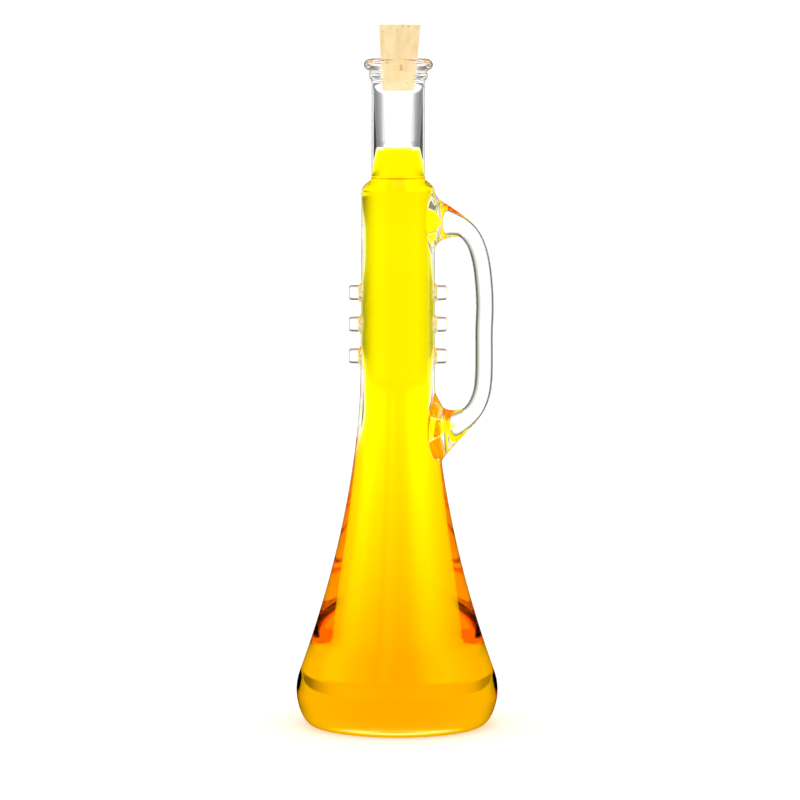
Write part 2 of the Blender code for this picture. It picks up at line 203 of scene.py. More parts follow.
# The light round the horizon as (degrees to the right of straight behind or in front, light): as seen through clear
# glass alone, and through the drink
CLEAR_SIDES = (
    (-90, 1.25),
    (-62, 1.25),
    (-58, 0.1),
    (-46, 0.06),
    (-38, 0.7),
    (-28, 1.3),
    (0, 1.2),
    (14, 1.3),
    (20, 1.0),
    (26, 0.7),
    (34, 0.4),
    (41, 0.05),
    (57, 0.03),
    (61, 1.25),
    (90, 1.25),
)
DRINK_SIDES = (
    (-90, 1.2),
    (-66, 0.9),
    (-58, 0.5),
    (-46, 0.55),
    (-36, 0.95),
    (-20, 1.2),
    (-8, 1.2),
    (8, 1.2),
    (16, 1.25),
    (24, 1.2),
    (32, 0.95),
    (40, 0.65),
    (48, 0.32),
    (58, 0.28),
    (66, 0.8),
    (90, 1.2),
)

# Heights of direction, as sines, between which the drink's pattern fades in and out again, and the light below it,
# which is seen through the bell
GAP_BOTTOM = (-0.125, -0.1)
LOW_TOP = (-0.16, -0.12)
LOW_PLAIN = 1.15
GAP_TOP = (-0.034, -0.02)
LOW_SIDES = (
    (-90, 1.15),
    (-42, 1.15),
    (-34, 1.25),
    (-26, 1.4),
    (-20, 1.55),
    (-13, 1.5),
    (-6, 1.2),
    (0, 1.15),
    (4, 1.25),
    (6, 1.25),
    (8, 1.15),
    (12, 1.3),
    (18, 1.35),
    (24, 1.5),
    (33, 1.45),
    (40, 1.2),
    (90, 1.15),
)

# Where the light seen through clear glass fades into a dark ceiling and into the shade under the bottle, as sines of
# height, and what is left there
SKY_FADE = (0.35, 0.7)
SKY_SEEN = 0.06
SHADE_FADE = (-0.85, -0.45)
SHADE_SEEN = 0.2

# The light round the horizon that has been mirrored on its way, as inside the neck's wall, and the heights of
# direction between which it is as weak as that
MIRRORED_SIDES = (
    (-90, 0.95),
    (-72, 0.75),
    (-58, 0.48),
    (-37, 0.35),
    (-15, 0.24),
    (15, 0.22),
    (37, 0.33),
    (58, 0.45),
    (72, 0.7),
    (90, 0.95),
)
MIRROR_BOTTOM = (-0.15, -0.11)
MIRROR_TOP = (0.05, 0.09)

# How much brighter the studio lights what stands behind glass
LIT_THROUGH_GLASS = 1.9

# The floor, what it glows with by itself, and a painted pool of warm light round the drink, which stands in for the
# light the drink casts on the floor, as (distance from the axis, colour)
FLOOR_SIZE = 60.0
FLOOR_GLOW = 0.3
PAINTED_LIGHT_NEAR = 0.04
PAINTED_LIGHT_FAR = 0.12
PAINTED_LIGHT_COLOUR = (1.5, 1.1, 0.75)

# Camera: distance from the axis, height, tilt down, sideways roll and the picture's shift
CAMERA_DISTANCE = 1.9
CAMERA_HEIGHT = 0.33
CAMERA_TILT = math.radians(5.47)
CAMERA_ROLL = math.radians(0.12)
CAMERA_LENS = 189.6
CAMERA_SHIFT = 0.0029


def arc(centre, half_width, half_height, start, end, steps):
    """Points of an elliptical arc from start to end degrees, both ends included."""
    points = []
    for i in range(steps + 1):
        angle = math.radians(start + (end - start) * i / steps)
        points.append((centre[0] + half_width * math.cos(angle), centre[1] + half_height * math.sin(angle)))
    return points


def smooth_step(t):
    t = min(max(t, 0.0), 1.0)
    return t * t * (3 - 2 * t)


def heights_up(start, end):
    """Heights from start to end at about the row spacing, the start left out."""
    steps = max(1, round((end - start) / ROW_SPACING))
    return [start + (end - start) * i / steps for i in range(1, steps + 1)]


def heel():
    """Slope at the bell's rim, and radius and centre height of the arc that turns it upright."""
    rise = FLARE_START_HEIGHT - FLARE_END_HEIGHT
    slope = math.atan(FLARE_POWER * (FLARE_END_RADIUS - TUBE_BOTTOM_RADIUS) / rise)
    rounding = (BASE_RADIUS - FLARE_END_RADIUS) / (1 - math.cos(slope))
    return slope, rounding, FLARE_END_HEIGHT - rounding * math.sin(slope)


def outer_radius(z):
    """Outer radius of the glass between the widest point of its base and its shoulder."""
    slope, rounding, widest = heel()
    if z < FLARE_END_HEIGHT:
        return BASE_RADIUS - rounding + math.sqrt(max(0.0, rounding**2 - (z - widest) ** 2))
    if z < FLARE_START_HEIGHT:
        share = (FLARE_START_HEIGHT - z) / (FLARE_START_HEIGHT - FLARE_END_HEIGHT)
        return TUBE_BOTTOM_RADIUS + (FLARE_END_RADIUS - TUBE_BOTTOM_RADIUS) * share**FLARE_POWER
    share = (z - FLARE_START_HEIGHT) / (SHOULDER_HEIGHT - FLARE_START_HEIGHT)
    return TUBE_BOTTOM_RADIUS + (TUBE_TOP_RADIUS - TUBE_BOTTOM_RADIUS) * min(share, 1.0)


def underside_rows(steps=10):
    """From the axis along the shallow hollow out to the standing ring."""
    edge = STANDING_RADIUS - RING_WIDTH
    points = [(0.0, PUNT_DEPTH)]
    for i in range(1, steps + 1):
        angle = math.pi / 2 * (1 - i / steps)
        points.append((edge * math.cos(angle), PUNT_DEPTH * math.sin(angle)))
    return points + [(edge + RING_WIDTH / 2, 0.0), (STANDING_RADIUS, 0.0)]


def heel_rows(steps=14):
    """From the standing ring up to the widest point, a quarter of a superellipse."""
    widest = heel()[2]
    width = BASE_RADIUS - STANDING_RADIUS
    points = []
    for i in range(steps - 1, -1, -1):
        angle = math.pi / 2 * i / steps
        across = math.cos(angle) ** (2 / HEEL_ROUNDNESS)
        down = math.sin(angle) ** (2 / HEEL_ROUNDNESS)
        points.append((STANDING_RADIUS + width * across, widest * (1 - down)))
    return points


def shoulder_rows():
    """From the top of the tube over the shoulder to the neck's foot."""
    slope = SHOULDER_SLOPE
    degrees = math.degrees(slope)
    centre = TUBE_TOP_RADIUS - SHOULDER_ROUNDING
    shoulder_edge = centre + SHOULDER_ROUNDING * math.cos(slope)
    fillet_edge = NECK_FOOT_RADIUS + NECK_FILLET * (1 - math.cos(slope))
    fillet_height = (
        SHOULDER_HEIGHT
        + SHOULDER_ROUNDING * math.sin(slope)
        + (shoulder_edge - fillet_edge) / math.tan(slope)
        + NECK_FILLET * math.sin(slope)
    )
    fillet = (NECK_FOOT_RADIUS + NECK_FILLET, fillet_height)
    points = arc((centre, SHOULDER_HEIGHT), SHOULDER_ROUNDING, SHOULDER_ROUNDING, 0, degrees, 8)[1:]
    return points + arc(fillet, NECK_FILLET, NECK_FILLET, 180 + degrees, 180, 6)


def neck_rows():
    """Up the slightly flared neck to the foot of the bead."""
    start = shoulder_rows()[-1][1]
    points = []
    for z in heights_up(start, BEAD_HEIGHT - 1.8 * BEAD_HALF_HEIGHT):
        share = min(1.0, (z - start) / (NECK_FOOT_HEIGHT - start))
        points.append((NECK_FOOT_RADIUS + (NECK_RADIUS - NECK_FOOT_RADIUS) * share, z))
    return points


def lip_rows():
    """Up over the bead and the lip, and over the mouth's rim."""
    lip_half_height = GLASS_HEIGHT - LIP_HEIGHT
    rim = (LIP_CENTRE_RADIUS, GLASS_HEIGHT - MOUTH_ROUNDING)
    points = arc((BEAD_CENTRE_RADIUS, BEAD_HEIGHT), BEAD_HALF_WIDTH, BEAD_HALF_HEIGHT, -75, 45, 12)
    points += arc((LIP_CENTRE_RADIUS, LIP_HEIGHT), LIP_HALF_WIDTH, lip_half_height, -72, 80, 20)
    return points + arc(rim, LIP_CENTRE_RADIUS - MOUTH_RADIUS, MOUTH_ROUNDING, 90, 180, 10)


def outside_rows():
    """The outline from the axis under the base, up the outside and over the lip to the mouth."""
    widest = heel()[2]
    heights = heights_up(widest, FLARE_END_HEIGHT)
    heights += heights_up(FLARE_END_HEIGHT, FLARE_START_HEIGHT)
    heights += heights_up(FLARE_START_HEIGHT, SHOULDER_HEIGHT)
    body = [(outer_radius(z), z) for z in heights]
    return underside_rows() + heel_rows() + body + shoulder_rows() + neck_rows() + lip_rows()


def wall_thickness(z):
    """Smooth run through the WALL stations."""
    if z <= WALL[0][0]:
        return WALL[0][1]
    for (z0, t0), (z1, t1) in zip(WALL, WALL[1:]):
        if z <= z1:
            return t0 + (t1 - t0) * smooth_step((z - z0) / (z1 - z0))
    return WALL[-1][1]


def cavity_radius(z):
    """Inner radius of the glass: cork seat, bore, shoulder and body."""
    if z >= SEAT_HEIGHT:
        share = (z - SEAT_HEIGHT) / (GLASS_HEIGHT - MOUTH_ROUNDING - SEAT_HEIGHT)
        return SEAT_RADIUS + (MOUTH_RADIUS - SEAT_RADIUS) * share
    if z >= BORE_WAIST_HEIGHT:
        share = (z - BORE_WAIST_HEIGHT) / (SEAT_HEIGHT - BORE_WAIST_HEIGHT)
        return BORE_RADIUS + (SEAT_RADIUS - BORE_RADIUS) * share
    if z >= BORE_END_HEIGHT:
        share = (BORE_WAIST_HEIGHT - z) / (BORE_WAIST_HEIGHT - BORE_END_HEIGHT)
        return BORE_RADIUS + (BORE_FOOT_RADIUS - BORE_RADIUS) * smooth_step(share)
    top = WALL[-1][0]
    if z > top:
        body = outer_radius(top) - wall_thickness(top)
        share = (BORE_END_HEIGHT - z) / (BORE_END_HEIGHT - top)
        return BORE_FOOT_RADIUS + (body - BORE_FOOT_RADIUS) * smooth_step(share)
    return outer_radius(z) - wall_thickness(z)


def floor_rows(grow):
    """The cavity's flat floor and rounded corner, from the axis out, grown by a little."""
    corner = FLOOR_HEIGHT + FLOOR_CORNER
    radius = cavity_radius(corner)
    centre = (radius - FLOOR_CORNER, corner)
    flat = [(centre[0] * share, FLOOR_HEIGHT - grow) for share in (0.0, 0.15, 0.4, 0.7)]
    return flat + arc(centre, FLOOR_CORNER + grow, FLOOR_CORNER + grow, -90, 0, 14)


def cavity_rows(top, grow):
    """The cavity from the axis at its floor up to a height, grown by a little into the wall."""
    heights = heights_up(FLOOR_HEIGHT + FLOOR_CORNER, WALL[-1][0])
    heights += heights_up(WALL[-1][0], min(top, GLASS_HEIGHT - MOUTH_ROUNDING))
    return floor_rows(grow) + [(cavity_radius(z) + grow, z) for z in heights]


def drink_rows():
    """The drink's outline: the cavity up to the edge of the meniscus, then down its curve and in to the axis."""
    top = LIQUID_LEVEL + MENISCUS_RISE
    rows = cavity_rows(top, WALL_OVERLAP)
    wall = cavity_radius(top)
    for share in (0.97, 0.8, 0.6, 0.45, 0.32, 0.22, 0.14, 0.08, 0.04, 0.015, 0.0):
        away = MENISCUS_WIDTH * math.log(1 / max(share, 0.006))
        rows.append((wall - away, LIQUID_LEVEL + MENISCUS_RISE * share))
    return rows + [(wall * 0.3, LIQUID_LEVEL), (0.0, LIQUID_LEVEL)]


class Shell:
    """A closed mesh gathered from rings of points. A ring is an array of point numbers.

    Faces get the material of the kind that is set while they are added."""

    def __init__(self):
        self.points = []
        self.faces = []
        self.kinds = []
        self.kind = DRY

    def face(self, *corners):
        self.faces.append(tuple(int(c) for c in corners))
        self.kinds.append(self.kind)

    def ring(self, points):
        start = len(self.points)
        self.points.extend(points)
        return np.arange(start, len(self.points))

    def bridge(self, first, second):
        """Quads between two rings with as many points each."""
        for a, b, c, d in zip(first, np.roll(first, -1), np.roll(second, -1), second):
            self.face(a, b, c, d)

    def cap(self, ring, point):
        """A fan from a ring to one point."""
        tip = len(self.points)
        self.points.append(point)
        for a, b in zip(ring, np.roll(ring, -1)):
            self.face(a, b, tip)

    def finish(self, name, *materials):
        mesh = bpy.data.meshes.new(name)
        mesh.from_pydata([tuple(p) for p in self.points], [], self.faces)
        for material in materials:
            mesh.materials.append(material)
        mesh.polygons.foreach_set("material_index", self.kinds)
        bm = bmesh.new()
        bm.from_mesh(mesh)
        bmesh.ops.recalc_face_normals(bm, faces=bm.faces)
        bm.to_mesh(mesh)
        bm.free()
        mesh.shade_smooth()
        ob = bpy.data.objects.new(name, mesh)
        bpy.context.scene.collection.objects.link(ob)
        return ob


class Turned:
    """A surface turned about Z from rows of (radius, height) that start and end on the axis, with holes."""

    def __init__(self, shell, rows):
        self.shell = shell
        self.radius = np.array([r for r, z in rows[1:-1]])
        self.height = np.array([z for r, z in rows[1:-1]])
        self.rings = []
        self.holes = []
        angles = math.tau * np.arange(COLUMNS) / COLUMNS
        for r, z in zip(self.radius, self.height):
            ring = np.stack([r * np.cos(angles), r * np.sin(angles), np.full(COLUMNS, z)], axis=1)
            self.rings.append(shell.ring(ring))
        shell.cap(self.rings[0], (0.0, 0.0, rows[0][1]))
        shell.kind = self.kind_of(len(self.rings) - 1)
        shell.cap(self.rings[-1], (0.0, 0.0, rows[-1][1]))

    def at(self, angle, row):
        """Points of the surface at angles and fractional rows."""
        numbers = np.arange(len(self.radius))
        r = np.interp(row, numbers, self.radius)
        return np.stack([r * np.cos(angle), r * np.sin(angle), np.interp(row, numbers, self.height)], axis=1)

    def hole(self, inside, z, rows, columns, side, start):
        """Leaves out a window of rows by columns at a height, on the +X or -X side, outside or inside the glass.

        Returns the window's edge as point numbers, angles, rows and turns round its middle. It begins below the
        middle for start -1 and above it for start +1, and runs towards +Y first."""
        away = np.abs(self.height - z) + (self.wall(inside) == 0) * 1.0
        middle = int(np.argmin(away))
        low, high = middle - rows // 2, middle + rows // 2
        rising = self.height[high] > self.height[low]
        begin, step = (low, 1) if rising == (start < 0) else (high, -1)
        half = columns // 2
        edge = [(0, c) for c in range(half)]
        edge += [(k, half) for k in range(rows)]
        edge += [(rows, c) for c in range(half, -half, -1)]
        edge += [(k, -half) for k in range(rows, 0, -1)]
        edge += [(0, c) for c in range(-half, 0)]
        centre = 0 if side > 0 else COLUMNS // 2
        self.holes.append((low, high, centre - half, centre + half))
        numbers = np.array([self.rings[begin + step * k][(centre + side * c) % COLUMNS] for k, c in edge])
        angles = np.array([math.tau * (centre + side * c) / COLUMNS for k, c in edge])
        rows_there = np.array([float(begin + step * k) for k, c in edge])
        turns = np.array([math.atan2(c / half, 1 - 2 * k / rows) for k, c in edge])
        return numbers, angles, rows_there, turns

    def wall(self, inside):
        """1 for the rows of the outside, or of the cavity, in the stretch that branches grow from."""
        top = int(np.argmax(self.height))
        numbers = np.arange(len(self.height))
        chosen = numbers > top if inside else numbers < top
        if not inside and self.height[top] < SEAT_HEIGHT:
            chosen = numbers <= top
        return (chosen & (self.height > BRANCH_LOWEST) & (self.height < BRANCH_HIGHEST)).astype(int)

    def kind_of(self, row):
        """Whether the surface above a row is part of the cavity below the drink's level."""
        in_cavity = row > int(np.argmax(self.height))
        return WETTED if in_cavity and self.height[row] < LIQUID_LEVEL else DRY

    def beyond(self, points, inside):
        """How far points lie outside the surface, and the fractional rows at their heights."""
        chosen = np.nonzero(self.wall(inside))[0]
        order = chosen[np.argsort(self.height[chosen])]
        radius = np.interp(points[:, 2], self.height[order], self.radius[order])
        rows = np.interp(points[:, 2], self.height[order], order.astype(float))
        return np.hypot(points[:, 0], points[:, 1]) - radius, rows

    def skin(self):
        """Quads between the rows, apart from the holes."""
        for row, (ring, after) in enumerate(zip(self.rings, self.rings[1:])):
            self.shell.kind = self.kind_of(row)
            open_columns = set()
            for low, high, left, right in self.holes:
                if low <= row < high:
                    open_columns.update(c % COLUMNS for c in range(left, right))
            for c in range(COLUMNS):
                if c not in open_columns:
                    d = (c + 1) % COLUMNS
                    self.shell.face(ring[c], ring[d], after[d], after[c])


class Branch:
    """A tube with elliptical sections: centres and directions in the XZ plane, half heights and half depths.

    A place on it is a run from 0 to 1 along it and a turn round it, 0 on the side that faces its inner bend."""

    def __init__(self, centres, half_heights, half_depths, upright=None):
        self.centres = np.array(centres)
        self.sizes = np.stack([half_heights, half_depths], axis=1)
        along = np.gradient(self.centres, axis=0)
        if upright is not None:
            along[:, 1] *= upright
        lengths = np.maximum(np.linalg.norm(along, axis=1, keepdims=True), 1e-12)
        self.along = along / lengths
        steps = np.linalg.norm(np.diff(np.column_stack([self.centres, self.sizes[:, 0]]), axis=0), axis=1)
        self.run = np.concatenate([[0.0], np.cumsum(steps)]) / steps.sum()

    def at(self, run, turn):
        x, z, ax, az, height, depth = (
            np.interp(run, self.run, values)
            for values in (*self.centres.T, *self.along.T, *self.sizes.T)
        )
        across = height * np.cos(turn)
        return np.stack([x + az * across, depth * np.sin(turn), z - ax * across], axis=1)


def join_place(turned, inside, branch, turns, start_run, end_run):
    """Runs at which a branch leaves a turned surface, with start_run inside it and end_run outside, for each turn."""
    low = np.full(len(turns), start_run)
    high = np.full(len(turns), end_run)
    for _ in range(40):
        middle = (low + high) / 2
        out = turned.beyond(branch.at(middle, turns), inside)[0] > 0
        high = np.where(out, middle, high)
        low = np.where(out, low, middle)
    return (low + high) / 2


def root_loops(turned, inside, branch, edge, start_run, end_run, flat_run, loops):
    """Rings from a hole's edge over the surface to the branch and out along it to its first flat ring."""
    numbers, angles, rows, turns = edge
    meeting = join_place(turned, inside, branch, turns, start_run, end_run)
    points = branch.at(meeting, turns)
    middle = angles.mean()
    meeting_angles = np.arctan2(points[:, 1], points[:, 0])
    meeting_angles = middle + (meeting_angles - middle + math.pi) % math.tau - math.pi
    meeting_rows = turned.beyond(points, inside)[1]
    rings = []
    for k in range(1, PATCH_LOOPS + 1):
        share = 1 - (1 - k / (PATCH_LOOPS + 1)) ** 1.5
        place = (angles + (meeting_angles - angles) * share, rows + (meeting_rows - rows) * share)
        rings.append(turned.at(*place))
    rings.append(points)
    for k in range(1, loops + 1):
        rings.append(branch.at(meeting + (flat_run - meeting) * (k / loops) ** 1.3, turns))
    return rings


def soften(rings, middle, reach, rounds):
    """Rounds the crease at one ring by averaging it with its neighbours, some rings each way."""
    for _ in range(rounds):
        before = [ring.copy() for ring in rings]
        for k in range(max(1, middle - reach), min(len(rings) - 1, middle + reach + 1)):
            rings[k] = (before[k - 1] + 2 * before[k] + before[k + 1]) / 4


def attach(shell, first, rings):
    """Adds rings of points after an existing ring, and returns the last one."""
    ring = first
    for points in rings:
        after = shell.ring(points)
        shell.bridge(ring, after)
        ring = after
    return ring


def root_spread(x, root):
    """What a root adds to the handle's half height at a distance x from the bottle's axis."""
    edge, reach, spread, skirt, skirt_width = root
    out = np.maximum(x - edge, -ROOT_OVERRUN_SHARE * skirt_width)
    cone = spread * np.maximum(0.0, 1 - out / reach) ** ROOT_POWER
    return cone + skirt * np.exp(-out / skirt_width)


def handle_branch():
    """The handle from inside the body at its upper root to inside the body at its lower one."""
    knots = []
    for (x, z), (dx, dz), arm in HANDLE_KNOTS:
        knots.append((Vector((x, 0.0, z)), Vector((dx, 0.0, dz)).normalized() * arm))
    line = []
    for (start, start_arm), (end, end_arm) in zip(knots, knots[1:]):
        line += interpolate_bezier(start, start + start_arm, end - end_arm, end, 80)[:-1]
    line.append(knots[-1][0])
    x = np.array([p.x for p in line])
    z = np.array([p.z for p in line])
    upper = z > (HANDLE_KNOTS[0][0][1] + HANDLE_KNOTS[-1][0][1]) / 2
    extra = np.where(upper, root_spread(x, UPPER_ROOT), root_spread(x, LOWER_ROOT))
    edge = np.where(upper, UPPER_ROOT[0], LOWER_ROOT[0])
    reach = np.where(upper, UPPER_ROOT[1], LOWER_ROOT[1])
    upright = np.clip((x - edge) / reach, 0.0, 1.0)
    centres = np.stack([x, z], axis=1)
    return Branch(centres, HANDLE_RADIUS + extra, HANDLE_RADIUS + ROOT_DEPTH_SHARE * extra, upright)


def add_handle(turned):
    """Grows the handle out of the body at its upper root and back into it at its lower one."""
    branch = handle_branch()
    shell = turned.shell
    upper = turned.hole(False, HANDLE_KNOTS[1][0][1], ROOT_ROWS, ROOT_COLUMNS, 1, -1)
    lower = turned.hole(False, LOWER_ROOT_MIDDLE, ROOT_ROWS, ROOT_COLUMNS, 1, 1)
    upper_flat = branch.run[np.argmax(branch.centres[:, 0] > UPPER_ROOT[0] + ROOT_FLAT)]
    lower_flat = branch.run[len(branch.run) - np.argmax(branch.centres[::-1, 0] > LOWER_ROOT[0] + ROOT_FLAT)]
    start = root_loops(turned, False, branch, upper, 0.0, upper_flat, upper_flat, ROOT_LOOPS)
    end = root_loops(turned, False, branch, lower, 1.0, lower_flat, lower_flat, ROOT_LOOPS)
    rings = start
    turns = upper[3]
    for k in range(1, HANDLE_RINGS):
        run = upper_flat + (lower_flat - upper_flat) * k / HANDLE_RINGS
        rings.append(branch.at(np.full(len(turns), run), turns))
    first_join = PATCH_LOOPS
    rings += end[::-1]
    soften(rings, first_join, 4, 6)
    soften(rings, len(rings) - 1 - PATCH_LOOPS, 4, 6)
    last = attach(shell, upper[0], rings)
    shell.bridge(last, lower[0])


def lug_branch(side, z):
    """A peg with a fillet at the body, a slight taper and a rounded end."""
    rounding_start = LUG_REACH - LUG_EDGE
    tip = LUG_TIP_RADIUS - LUG_EDGE
    x = np.linspace(LUG_START, rounding_start, 60)
    out = x - TUBE_BOTTOM_RADIUS
    share = (x - LUG_START) / (LUG_REACH - LUG_START)
    size = LUG_RADIUS + (LUG_TIP_RADIUS - LUG_RADIUS) * share + LUG_FILLET * np.exp(-out / LUG_FILLET_WIDTH)
    size = np.minimum(size, LUG_RADIUS + 2 * LUG_FILLET)
    angles = np.linspace(0, math.pi / 2, 12)[1:]
    x = np.concatenate([x, rounding_start + LUG_EDGE * np.sin(angles), np.full(12, LUG_REACH)])
    size = np.concatenate([size, tip + LUG_EDGE * np.cos(angles), tip * np.linspace(1, 0, 13)[1:]])
    branch = Branch(np.stack([side * x, np.full(len(x), z)], axis=1), size, size)
    branch.along[:] = (side, 0.0)
    return branch


def grow_to_tip(turned, inside, branch, hole, flat_run, tip_rings, rounds):
    """Grows a branch out of a hole and closes it at its tip."""
    rings = root_loops(turned, inside, branch, hole, 0.0, flat_run, flat_run, ROOT_LOOPS)
    turns = hole[3]
    for k in range(1, tip_rings):
        run = flat_run + (1 - flat_run) * k / tip_rings
        rings.append(branch.at(np.full(len(turns), run), turns))
    soften(rings, PATCH_LOOPS, 3, rounds)
    last = attach(turned.shell, hole[0], rings)
    turned.shell.cap(last, branch.at(np.array([1.0]), np.array([0.0]))[0])


def add_lugs(turned):
    for side in (-1, 1):
        for z in LUG_HEIGHTS:
            branch = lug_branch(side, z)
            flat = branch.run[np.argmax(np.abs(branch.centres[:, 0]) > TUBE_BOTTOM_RADIUS + LUG_FILLET)]
            hole = turned.hole(False, z, LUG_ROWS, LUG_COLUMNS, side, -side)
            grow_to_tip(turned, False, branch, hole, flat, 26, 2)


def swell_branch(swell, grow):
    """A run-out of the cavity, wide at its foot and round at its tip."""
    (x, z), long, slope, (deep, tall), (deeper, taller) = swell
    angles = np.linspace(0, math.pi / 2, 160)
    reach = (long + grow) * np.sin(angles)
    centres = np.stack([x + reach * math.cos(slope), z - reach * math.sin(slope)], axis=1)
    flare = np.exp(-np.maximum(0.0, centres[:, 0] - cavity_radius(z)) / SWELL_FLARE)
    heights = (tall + grow + taller * flare) * np.cos(angles)
    depths = (deep + grow + deeper * flare) * np.cos(angles)
    branch = Branch(centres, heights, depths)
    branch.along[:] = (math.cos(slope), -math.sin(slope))
    return branch


def add_swells(turned, inside, grow):
    turned.shell.kind = WETTED if inside else DRY
    for swell in (UPPER_SWELL, LOWER_SWELL):
        branch = swell_branch(swell, grow)
        hole = turned.hole(inside, swell[0][1], SWELL_ROWS, SWELL_COLUMNS, 1, -1)
        grow_to_tip(turned, inside, branch, hole, SWELL_FLAT_RUN, 22, 4)


def build_glass(dry, wetted):
    """Body, handle and lugs in one piece, with the cavity inside."""
    shell = Shell()
    cavity = cavity_rows(GLASS_HEIGHT, 0.0)
    turned = Turned(shell, outside_rows() + cavity[::-1][1:])
    shell.kind = DRY
    add_handle(turned)
    add_lugs(turned)
    add_swells(turned, True, 0.0)
    turned.skin()
    glass = shell.finish("bottle_glass", dry, wetted)
    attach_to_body(glass, "root")
    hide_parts("glass_bottle")
    return glass


def build_drink(material):
    """The drink, which reaches just into the wall so that no air shows between them."""
    shell = Shell()
    turned = Turned(shell, drink_rows())
    add_swells(turned, False, WALL_OVERLAP)
    turned.skin()
    drink = shell.finish("drink", material)
    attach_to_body(drink, "root")
    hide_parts("liquid")
    return drink


def build_cork(material):
    """The tapered stopper with broken edges."""
    length = CORK_TOP_HEIGHT - CORK_BOTTOM_HEIGHT
    rows = [(0.0, CORK_BOTTOM_HEIGHT), (CORK_BOTTOM_RADIUS * 0.5, CORK_BOTTOM_HEIGHT)]
    rows += arc(
        (CORK_BOTTOM_RADIUS - CORK_EDGE, CORK_BOTTOM_HEIGHT + CORK_EDGE), CORK_EDGE, CORK_EDGE, -90, 0, 5
    )
    for z in heights_up(CORK_BOTTOM_HEIGHT + CORK_EDGE, CORK_TOP_HEIGHT - CORK_EDGE)[:-1]:
        share = (z - CORK_BOTTOM_HEIGHT) / length
        rows.append((CORK_BOTTOM_RADIUS + (CORK_TOP_RADIUS - CORK_BOTTOM_RADIUS) * share, z))
    rows += arc((CORK_TOP_RADIUS - CORK_EDGE, CORK_TOP_HEIGHT - CORK_EDGE), CORK_EDGE, CORK_EDGE, 0, 90, 5)
    rows += [(CORK_TOP_RADIUS * 0.5, CORK_TOP_HEIGHT), (0.0, CORK_TOP_HEIGHT)]
    shell = Shell()
    Turned(shell, rows).skin()
    cork = shell.finish("cork_stopper", material)
    lean = CORK_LEAN / length
    cork.data.transform(Matrix(((1, 0, lean, -lean * CORK_BOTTOM_HEIGHT), (0, 1, 0, 0), (0, 0, 1, 0), (0, 0, 0, 1))))
    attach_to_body(cork, "root")
    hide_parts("cork")
    return cork


def new_material(name):
    material = bpy.data.materials.new(name)
    material.use_nodes = True
    return material, material.node_tree, material.node_tree.nodes["Principled BSDF"]


def math_node(tree, operation, *values):
    """A math node with numbers or sockets as its inputs."""
    node = tree.nodes.new("ShaderNodeMath")
    node.operation = operation
    for socket, value in zip(node.inputs, values):
        if isinstance(value, bpy.types.NodeSocket):
            tree.links.new(value, socket)
        else:
            socket.default_value = value
    return node.outputs["Value"]


def mix_node(tree, share, first, second):
    """The first value where the share is 0, the second where it is 1."""
    node = tree.nodes.new("ShaderNodeMix")
    for name, value in (("Factor", share), ("A", first), ("B", second)):
        if isinstance(value, bpy.types.NodeSocket):
            tree.links.new(value, node.inputs[name])
        else:
            node.inputs[name].default_value = value
    return node.outputs["Result"]


def range_node(tree, value, start, end, low, high):
    """A smooth run from low to high while the value goes from start to end."""
    node = tree.nodes.new("ShaderNodeMapRange")
    node.interpolation_type = "SMOOTHSTEP"
    tree.links.new(value, node.inputs["Value"])
    for name, number in (("From Min", start), ("From Max", end), ("To Min", low), ("To Max", high)):
        node.inputs[name].default_value = number
    return node.outputs["Result"]


def colour_mix(tree, share, first, second):
    """The first colour where the share is 0, the second where it is 1."""
    node = tree.nodes.new("ShaderNodeMix")
    node.data_type = "RGBA"
    tree.links.new(share, node.inputs["Factor"])
    for socket, value in ((node.inputs["A"], first), (node.inputs["B"], second)):
        if isinstance(value, bpy.types.NodeSocket):
            tree.links.new(value, socket)
        else:
            socket.default_value = (*value, 1.0)
    return node.outputs["Result"]


def glass_material(name, wetted):
    """Clear glass, which hardly mirrors anything where the drink wets it."""
    material, tree, shader = new_material(name)
    shader.inputs["Base Color"].default_value = (1.0, 1.0, 1.0, 1.0)
    shader.inputs["Roughness"].default_value = 0.0
    shader.inputs["IOR"].default_value = WETTED_IOR if wetted else GLASS_IOR
    shader.inputs["Transmission Weight"].default_value = 1.0
    if wetted:
        shader.inputs["Specular Tint"].default_value = (0.0, 0.0, 0.0, 1.0)
    return material


def drink_material():
    """Absorbs blue at once and green slowly, so that the neck is yellow and the bell amber."""
    material, tree, shader = new_material("yellow_drink")
    shader.inputs["Base Color"].default_value = (1.0, 1.0, 1.0, 1.0)
    shader.inputs["Roughness"].default_value = 0.0
    shader.inputs["IOR"].default_value = DRINK_IOR
    shader.inputs["Specular Tint"].default_value = (0.0, 0.0, 0.0, 1.0)
    shader.inputs["Transmission Weight"].default_value = 1.0
    absorption = tree.nodes.new("ShaderNodeVolumeAbsorption")
    density = max(DRINK_ABSORPTION)
    colour = [1 - part / density for part in DRINK_ABSORPTION]
    absorption.inputs["Color"].default_value = (*colour, 1.0)
    absorption.inputs["Density"].default_value = density
    tree.links.new(absorption.outputs["Volume"], tree.nodes["Material Output"].inputs["Volume"])
    return material


def noise_node(tree, place, scale, detail, stretch=(1.0, 1.0, 1.0)):
    """Noise between 0 and 1 in a place's coordinates, stretched by a factor along each axis."""
    mapping = tree.nodes.new("ShaderNodeMapping")
    mapping.inputs["Scale"].default_value = stretch
    tree.links.new(place, mapping.inputs["Vector"])
    noise = tree.nodes.new("ShaderNodeTexNoise")
    noise.inputs["Scale"].default_value = scale
    noise.inputs["Detail"].default_value = detail
    tree.links.new(mapping.outputs["Vector"], noise.inputs["Vector"])
    return noise.outputs["Fac"]


